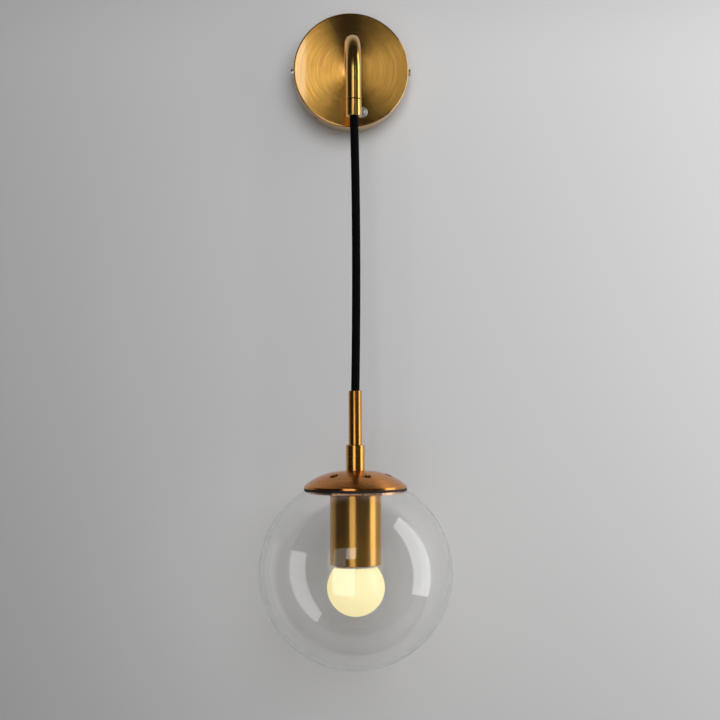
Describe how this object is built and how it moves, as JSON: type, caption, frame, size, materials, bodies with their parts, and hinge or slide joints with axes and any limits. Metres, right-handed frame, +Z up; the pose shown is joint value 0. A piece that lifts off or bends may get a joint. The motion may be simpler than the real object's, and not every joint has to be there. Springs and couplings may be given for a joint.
{
  "type": "globe wall sconce",
  "caption": "Wall light with a round canopy, a swan-neck arm, a hanging cord and a clear glass globe round an opal ball bulb.",
  "frame": {"origin": "centre of the canopy and of its two wall slots, on the wall plane", "axes": "+Z up, +Y into the wall, +X to the right of someone who faces the wall"},
  "size_m": [0.15, 0.165, 0.531],
  "materials": {
    "brass": "brushed, lacquered",
    "copper_brass": "brushed, lacquered",
    "nickel": "satin nickel",
    "zinc_steel": "zinc plated",
    "black_plastic": "matte",
    "white_plastic": "satin",
    "clear_nylon": "satin",
    "cord_fabric": "woven sleeve",
    "blue_wire": "satin",
    "brown_wire": "satin",
    "earth_wire": "satin",
    "rubber": "matte",
    "clear_glass": "polished",
    "opal": "opal, lit",
    "aluminium": "satin",
    "circuit_green": "solder mask",
    "copper_contact": "bright"
  },
  "bodies": {
    "wall_part": {"canopy_cover": "brass", "mounting_bracket": "zinc_steel", "canopy_side_screws": "nickel", "earth_screw": "zinc_steel", "earth_eyelet": "copper_contact", "terminal_block": "white_plastic", "terminal_screws": "zinc_steel", "block_screws": "zinc_steel", "switch_body": "black_plastic", "switch_bezel": "nickel", "arm_tube": "brass", "arm_nipple": "zinc_steel", "arm_lock_washer": "zinc_steel", "arm_lock_nut": "zinc_steel", "arm_ferrule": "brass", "cord_grip": "clear_nylon", "ferrule_grub_screw": "nickel", "arm_cord": "cord_fabric", "wire_neutral": "blue_wire", "wire_live_lamp": "brown_wire", "wire_live_supply": "brown_wire", "wire_earth": "earth_wire"},
    "button": {"switch_button": "nickel"},
    "cord_bend": {"cord_bend": "cord_fabric"},
    "cord": {"pendant_cord": "cord_fabric"},
    "pendant": {"stem_tube": "copper_brass", "stem_cord_grip": "clear_nylon", "stem_coupling": "copper_brass", "drop_nipple": "zinc_steel", "lamp_leads": "brown_wire", "dome_cap": "copper_brass", "upper_gasket": "rubber", "glass_globe": "clear_glass", "lower_gasket": "rubber", "retaining_plate": "copper_brass", "socket_cup": "copper_brass", "holder_nut": "zinc_steel", "lamp_holder_body": "black_plastic", "lamp_holder_shell": "copper_contact", "centre_contact": "copper_contact"},
    "bulb_tip": {"bulb_tip_contact": "nickel"},
    "bulb": {"bulb_diffuser": "opal", "bulb_collar": "white_plastic", "bulb_base": "nickel", "bulb_insulator": "black_plastic", "led_board": "aluminium", "driver_board": "circuit_green"}
  },
  "joints": [
    {"name": "switch_press", "type": "slide", "parent": "wall_part", "child": "button", "axis": [0, 1, 0], "range_m": [0, 0.0012], "stiffness_N_per_m": 400},
    {"name": "swing_side", "type": "hinge", "parent": "wall_part", "child": "cord_bend", "pos_m": [0, -0.09, -0.0522], "axis": [0, 1, 0], "range_deg": [-30, 30]},
    {"name": "swing_out", "type": "hinge", "parent": "cord_bend", "child": "cord", "pos_m": [0, -0.09, -0.0522], "axis": [-1, 0, 0], "range_deg": [-2, 30]},
    {"name": "cord_twist", "type": "hinge", "parent": "cord", "child": "pendant", "pos_m": [0, -0.09, -0.2671], "axis": [0, 0, 1], "range_deg": [-90, 90]},
    {"name": "bulb_travel", "type": "slide", "parent": "pendant", "child": "bulb_tip", "axis": [0, 0, -1], "range_m": [0, 0.02541]},
    {"name": "bulb_turn", "type": "hinge", "parent": "bulb_tip", "child": "bulb", "pos_m": [0, -0.09, -0.4195], "axis": [0, 0, 1], "range_deg": [0, 2521]}
  ],
  "couplings": [
    {"joint": "bulb_turn", "follows": "bulb_travel", "rad_per_m": 1730.9}
  ]
}
